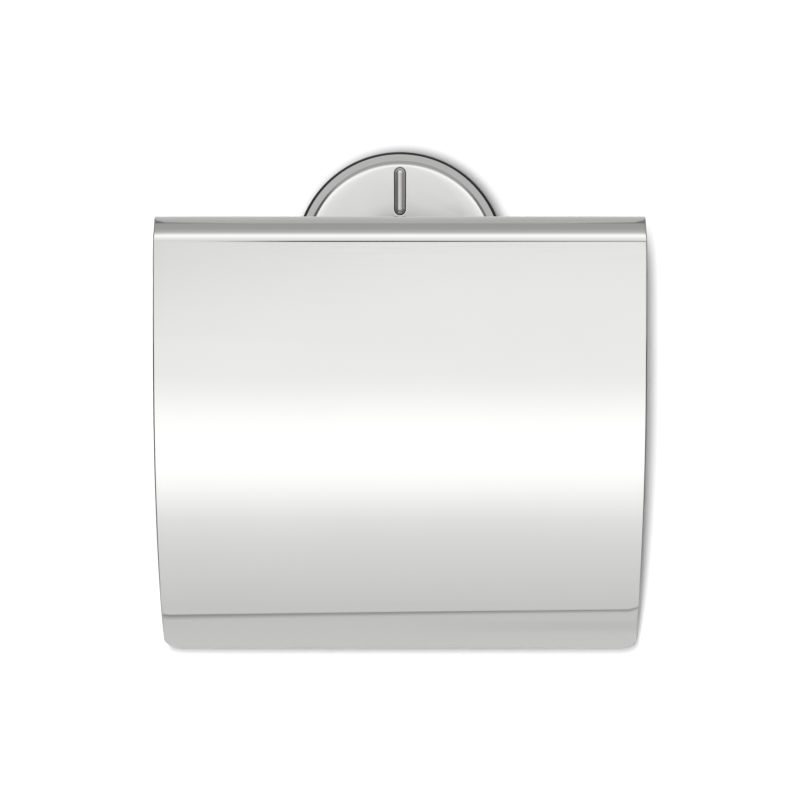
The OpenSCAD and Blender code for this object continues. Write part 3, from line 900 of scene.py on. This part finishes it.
def satin(bench):
    """Wire and blade: a fine grain across X."""
    grain = noise(bench, 1.0, (2400, 260, 260), detail=5.0, rough=0.7)
    cloud = noise(bench, 60.0)
    return {"Base Color": shade(bench, cloud, (0.56, 0.555, 0.545), (0.64, 0.635, 0.625)),
            "Roughness": 0.10 + grain * 0.12,
            "Normal": bump(bench, grain, 0.000006)}


polished_steel = finish("polished_steel", polished, Metallic=1.0)
pressed_steel = finish("pressed_polished_steel", pressed, Metallic=1.0)
satin_steel = finish("satin_steel", satin, Metallic=1.0)

# %% [markdown]
# ## Rubber, plastic, castings and the screw
# Rubber is nearly black with a dusty bloom. Moulded plastic has a fine spark-eroded grain. A die casting
# is dull, blotchy and pitted, and a black-oxide screw shines faintly where the oil has dried.

# %% The other finishes
def rubber(bench):
    """Nearly black, with a pale bloom that is also a little rougher."""
    bloom = noise(bench, 420.0, detail=4.0)
    return {"Base Color": shade(bench, bloom, (0.006, 0.006, 0.007), (0.020, 0.020, 0.021)),
            "Roughness": 0.55 + bloom * 0.25, "Normal": bump(bench, bloom, 0.00004)}


def moulded(dark, light):
    """Moulded plastic between two colours: a fine grain and slow clouds."""
    def recipe(bench):
        grain = noise(bench, 2600.0, detail=3.0)
        cloud = noise(bench, 110.0)
        return {"Base Color": shade(bench, cloud, dark, light), "Roughness": 0.38 + grain * 0.2,
                "Normal": bump(bench, grain, 0.00002)}
    return recipe


def casting(bench):
    """A raw die casting: blotches of colour and gloss, and small pits."""
    blotch = noise(bench, 190.0, detail=5.0)
    pit = bench.put("ShaderNodeTexVoronoi", {}, {"Vector": place(bench), "Scale": 1500.0}, "Distance")
    return {"Base Color": shade(bench, blotch, (0.30, 0.30, 0.31), (0.52, 0.52, 0.53)),
            "Roughness": 0.38 + blotch * 0.25, "Metallic": 0.75 + blotch * 0.2,
            "Normal": bump(bench, blotch + pit.between(0.0, 0.35) * 0.6, 0.00005)}


def oxide(bench):
    """A black-oxide screw: dark, and glossier where it is oily."""
    oil = noise(bench, 900.0, detail=3.0)
    return {"Base Color": shade(bench, oil, (0.012, 0.012, 0.013), (0.045, 0.045, 0.05)),
            "Roughness": 0.28 + oil * 0.25, "Normal": bump(bench, oil, 0.00001)}


def silicone(bench):
    """Clear silicone, seen as pale and soft because it is thin and sits on steel."""
    cloud = noise(bench, 300.0)
    return {"Base Color": shade(bench, cloud, (0.72, 0.73, 0.73), (0.86, 0.87, 0.87)),
            "Roughness": 0.22 + cloud * 0.12, "Normal": bump(bench, cloud, 0.00003)}


black_rubber = finish("black_rubber", rubber, Metallic=0.0)
grey_plastic = finish("grey_plastic", moulded((0.15, 0.155, 0.16), (0.21, 0.215, 0.22)), Metallic=0.0)
white_nylon = finish("white_nylon", moulded((0.66, 0.65, 0.60), (0.76, 0.75, 0.70)), Metallic=0.0,
                     Subsurface_Weight=0.15, Subsurface_Scale=0.002)
cast_zinc = finish("cast_zinc", casting)
black_oxide = finish("black_screw", oxide, Metallic=0.6)
clear_silicone = finish("clear_silicone", silicone, Metallic=0.0,
                        Subsurface_Weight=0.3, Subsurface_Scale=0.003)

# %% [markdown]
# ## Dressing the pieces
# Each piece has one finish, because each real piece is made of one thing. The last four pieces are hidden
# inside the rosette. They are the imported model's own, and they get a finish too, because the cap can come
# off.

# %% Dress the pieces
finishes = {
    "flap_sheet": polished_steel, "rosette_cap_pressed": pressed_steel, "rubber_ring": black_rubber,
    "support_blade": satin_steel, "bent_wire": satin_steel,
    "wire_end_cap": grey_plastic, "hinge_cap": grey_plastic,
    "spacer_tube_left": white_nylon, "spacer_tube_right": white_nylon,
    "bearing_sleeve_left": white_nylon, "bearing_sleeve_right": white_nylon,
    "silicone_bumper_left": clear_silicone, "silicone_bumper_right": clear_silicone,
    "wall_bracket": cast_zinc, "rosette_body": cast_zinc, "body_set_screw": black_oxide,
    "cap_retaining_ring": satin_steel}
for name, material in finishes.items():
    mesh = bpy.data.objects[name].data
    mesh.materials.clear()
    mesh.materials.append(material)
print(len(finishes), "pieces have a finish")

# %% [markdown]
# ## The studio
# The holder hangs on a white wall. A mirror shows the room, so the room is drawn with care. It could be
# built from planes and lamps, but then every edge of it would have to be placed by trial. Instead it is
# the world's brightness as a function of direction. The main part is a list by pitch, the angle above the
# level of a direction away from the wall: a bright floor below, a large screen in front and a dim ceiling
# past it.

# %% Direction and brightness by pitch
world = bpy.data.worlds.new("studio")
bpy.context.scene.world = world
world.use_nodes = True
room = Bench(world.node_tree)
way = room.put("ShaderNodeTexCoord", out="Generated")
sideways = room.put("ShaderNodeSeparateXYZ", {}, {"Vector": way}, "X")
outward = room.take(sideways, "Y") * -1.0
upward = room.take(sideways, "Z")
pitch = room.put("ShaderNodeMath", {"operation": "ARCTAN2"}, {0: upward, 1: outward}) * (180 / np.pi)
below = [(-180, 0.8), (-100, 0.87), (-89.5, 0.93), (-81.5, 0.98), (-74, 1.03), (-67, 1.09), (-60.5, 1.18),
         (-54, 1.345), (-48, 1.51), (-42, 1.63), (-36.5, 1.68), (-31, 1.66), (-25.5, 1.60), (-20, 1.50),
         (-15, 1.40), (-10, 1.33), (0, 1.31)]
above = [(0, 1.31), (1.7, 1.31), (2.3, 1.26), (4.0, 1.25), (7.4, 1.05), (9.0, 1.12), (13, 1.18), (17, 1.25),
         (25, 1.5), (31, 1.56), (36, 1.3), (40, 0.97), (44, 0.78), (50, 0.65), (62, 0.54), (92, 0.5),
         (110, 0.61), (180, 0.8)]
brightest = 2
low_stops = [(degrees / 180 + 1, value / brightest) for degrees, value in below]
high_stops = [(degrees / 180, value / brightest) for degrees, value in above]
low_part = room.put("ShaderNodeValToRGB", {"stops": low_stops}, {"Fac": pitch / 180 + 1}, "Color")
high_part = room.put("ShaderNodeValToRGB", {"stops": high_stops}, {"Fac": pitch / 180}, "Color")
is_high = room.put("ShaderNodeMath", {"operation": "GREATER_THAN"}, {0: pitch, 1: 0.0})
level = low_part * (1 - is_high) + high_part * is_high
print("brightness by pitch:", len(below), "places below the level and", len(above), "above it")

# %% [markdown]
# Four things break the evenness, each a mask of the direction. A thin dark gap under the screen's edge
# draws the dark line below the flap's upper bend, and fades to both sides. One corner of the screen is a
# little dim. The room's sides are dimmer than its middle. And two dark flags stand at the sides, from the
# level down: the rounded rims of the sheet look sideways and pick them up as thin dark lines.

# %% Gap, dim corner, sides and flags
def band(signal, rise, fall):
    """1 between two places, with a straight rise before and a straight fall after."""
    return signal.between(*rise) * (1 - signal.between(*fall))


gap = band(pitch, (3.0, 3.2), (7.1, 7.4)) * (sideways.between(-0.055, -0.03) * 0.82 + 0.1)
gap = gap * (1 - sideways.between(0.0, 0.06) * 0.45)
left_side = 1 - sideways.between(-0.075, 0.0)
dim_corner = left_side * pitch.between(0.6, 2.4) * (1 - pitch.between(3.0, 4.0)) * 0.13
level = level * (1 - gap) * (1 - dim_corner)
sides = [(-0.76, 0.24), (-0.62, 1.0), (0.62, 1.0), (0.78, 0.45)]
side_stops = [((x + 1) / 2, value) for x, value in sides]
flank = room.put("ShaderNodeValToRGB", {"stops": side_stops}, {"Fac": sideways / 2 + 0.5}, "Color")
flag = sideways.size().between(0.3, 0.42) * (1 - upward.between(0.0, 0.05)) * 0.85
shown = level * flank * (1 - flag) * float(brightest)
glow = room.put("ShaderNodeBackground", {}, {"Color": shown, "Strength": 1.0})
room.put_output(glow, "ShaderNodeOutputWorld")

# %% [markdown]
# ## Wall and floor
# The wall is a real matt surface for the eye, so that it can take shadows. Its paint is a quarter grey,
# but the key lamp is so strong that it comes out white. Ambient occlusion darkens the paint's colour where
# the holder comes within a few millimetres, which is a painted contact shadow. For reflections the wall
# isn't lit but glows with a set brightness, which is painted light and shade: darkest just above its joint
# with the floor, bright above that, and lower again higher up and far to the sides. Wall and floor are
# clear from behind, so that the holder can be looked at from there.

# %% Planes of the stage
def stage_plane(name, corners, recipe):
    """A four-cornered plane that isn't part of the holder, with its own finish."""
    mesh = bpy.data.meshes.new(name)
    mesh.from_pydata([tuple(c) for c in corners], [], [(0, 1, 2, 3)])
    made = bpy.data.objects.new(name, mesh)
    bpy.context.scene.collection.objects.link(made)
    material = bpy.data.materials.new(name)
    material.use_nodes = True
    bench = Bench(material.node_tree)
    bench.put_output(recipe(bench))
    mesh.materials.append(material)
    return made


def clear_from_behind(bench, front):
    """The front's finish on the front, and nothing at all on the back."""
    behind = bench.put("ShaderNodeNewGeometry", out="Backfacing")
    clear = bench.put("ShaderNodeBsdfTransparent")
    return bench.put("ShaderNodeMixShader", {}, {0: behind, 1: front, 2: clear})


# %% What the eye sees on the wall, and what the mirror sees
paint, shade_reach, joint_z, joint_slope = 0.25, 0.004, -0.263, 0.36
# The list below is the painted glow that the mirror sees, by height over the joint; its low values just
# above the joint are painted shade.
painted_wall_glow = [(-0.012, 0.88), (-0.004, 0.95), (-0.001, 0.95), (0.001, 0.40), (0.012, 0.45), (0.022, 0.62),
              (0.036, 0.83), (0.16, 0.86), (0.27, 0.75), (0.42, 0.66), (1.2, 0.64)]
tones_below, tones_span = 0.1, 1.3


def wall_finish(bench):
    """Matt paint with a painted contact shadow for the eye, and for the rest a glow by height over the joint
    that is painted light and shade.
    """
    path_kind = bench.put("ShaderNodeLightPath", out="Is Camera Ray")
    # Painted contact shadow: occlusion sought toward the lower left darkens the paint's colour, so the shade
    # lies to the upper right of near parts.
    toward = bench.put("ShaderNodeCombineXYZ", {}, {"X": -0.68, "Y": -0.64, "Z": -0.36}, "Vector")
    contact = bench.put("ShaderNodeAmbientOcclusion", {"samples": 12},
                        {"Distance": shade_reach, "Normal": toward}, "AO")
    seen = bench.put("ShaderNodeBsdfDiffuse", {}, {"Color": (contact ** 1.5) * paint})
    spot = bench.put("ShaderNodeTexCoord", out="Object")
    across_wall = bench.put("ShaderNodeSeparateXYZ", {}, {"Vector": spot}, "X")
    height = bench.take(across_wall, "Z")
    above_joint = height + across_wall * joint_slope - joint_z
    stops = [((z + tones_below) / tones_span, value) for z, value in painted_wall_glow]
    reading = (above_joint + tones_below) / tones_span
    tone = bench.put("ShaderNodeValToRGB", {"stops": stops}, {"Fac": reading}, "Color")
    # Painted shade in the mirrored glow: a faint dark patch right of the middle, and a darker band far to
    # each side.
    smear_and_painted_shade = across_wall.between(0.0, 0.05) * height.between(-0.205, -0.190)
    smear_and_painted_shade = smear_and_painted_shade * (1 - height.between(-0.168, -0.155)) * 0.07
    far = across_wall.size().between(0.08, 0.1) * height.between(-0.19, -0.14) * 0.6
    glow = tone * (1 - smear_and_painted_shade) * (1 - far)
    mirrored = bench.put("ShaderNodeEmission", {}, {"Color": glow, "Strength": 1.0})
    front = bench.put("ShaderNodeMixShader", {}, {0: path_kind, 1: mirrored, 2: seen})
    return clear_from_behind(bench, front)


def floor_finish(bench):
    """Pale matt paint."""
    seen = bench.put("ShaderNodeBsdfDiffuse", {}, {"Color": (0.72, 0.72, 0.71, 1)})
    return clear_from_behind(bench, seen)


# %% Wall and floor, in metres
half, wall_y, wall_foot, wall_head, floor_front, floor_z = 1.5, 0.0004, -0.42, 1.1, -2.2, -0.3
wall_corners = [(-half, wall_y, wall_foot), (half, wall_y, wall_foot), (half, wall_y, wall_head),
                (-half, wall_y, wall_head)]
floor_corners = [(-half, floor_front, floor_z), (half, floor_front, floor_z), (half, wall_y, floor_z),
                 (-half, wall_y, floor_z)]
stage_plane("studio_wall", wall_corners, wall_finish)
floor = stage_plane("studio_floor", floor_corners, floor_finish)
floor.visible_glossy = False

# %% [markdown]
# ## Lamps
# The key lamp stands in front, a little to the left and above the holder. It is tall and narrow and
# lights only the wall and the floor, so it draws the soft shadow beside and under the flap. The fill lamp
# stands high on the left and lights only the holder. Neither is seen in the mirror, which has the drawn
# room to show.

# %% Lamps
def lamp(name, where, target, spread, watts):
    """A soft oval lamp that looks at its target."""
    data = bpy.data.lights.new(name, "AREA")
    data.shape, data.size, data.size_y, data.energy = "ELLIPSE", *spread, watts
    made = bpy.data.objects.new(name, data)
    made.location = where
    away = np.array(target) - np.array(where)
    made.rotation_mode = "QUATERNION"
    made.rotation_quaternion = Vector(-away / np.linalg.norm(away)).to_track_quat("Z", "Y")
    bpy.context.scene.collection.objects.link(made)
    made.visible_camera = made.visible_glossy = False
    return made


def lights_only(lamp_object, names):
    """Light linking: this lamp lights only these objects."""
    lit = bpy.data.collections.new("lit_by_" + lamp_object.name)
    for name in names:
        lit.objects.link(bpy.data.objects[name])
    lamp_object.light_linking.receiver_collection = lit


aim = (0, 0, -0.04)
key = lamp("key_lamp", (-0.07, -1.5, 0.08), aim, (0.12, 0.42), 84.0)
lights_only(key, ["studio_wall", "studio_floor"])
fill = lamp("fill_lamp", (-0.7, -1.0, 0.5), aim, (0.6, 0.6), 9.0)
lights_only(fill, finishes)

# %% [markdown]
# ## Camera
# The view is straight on, from a metre in front of the wall and a little below the hinge. A long lens
# keeps the sides straight.

# %% Camera
camera = bpy.data.objects.new("camera", bpy.data.cameras.new("camera"))
camera.location = (0, -1.013, -0.041)
camera.rotation_euler = (np.pi / 2, 0, 0)
camera.data.sensor_width = 36.0
camera.data.lens = 159.04
bpy.context.scene.collection.objects.link(camera)
bpy.context.scene.camera = camera
bpy.context.scene.view_settings.view_transform = "Standard"
bpy.context.scene.view_settings.look = "None"
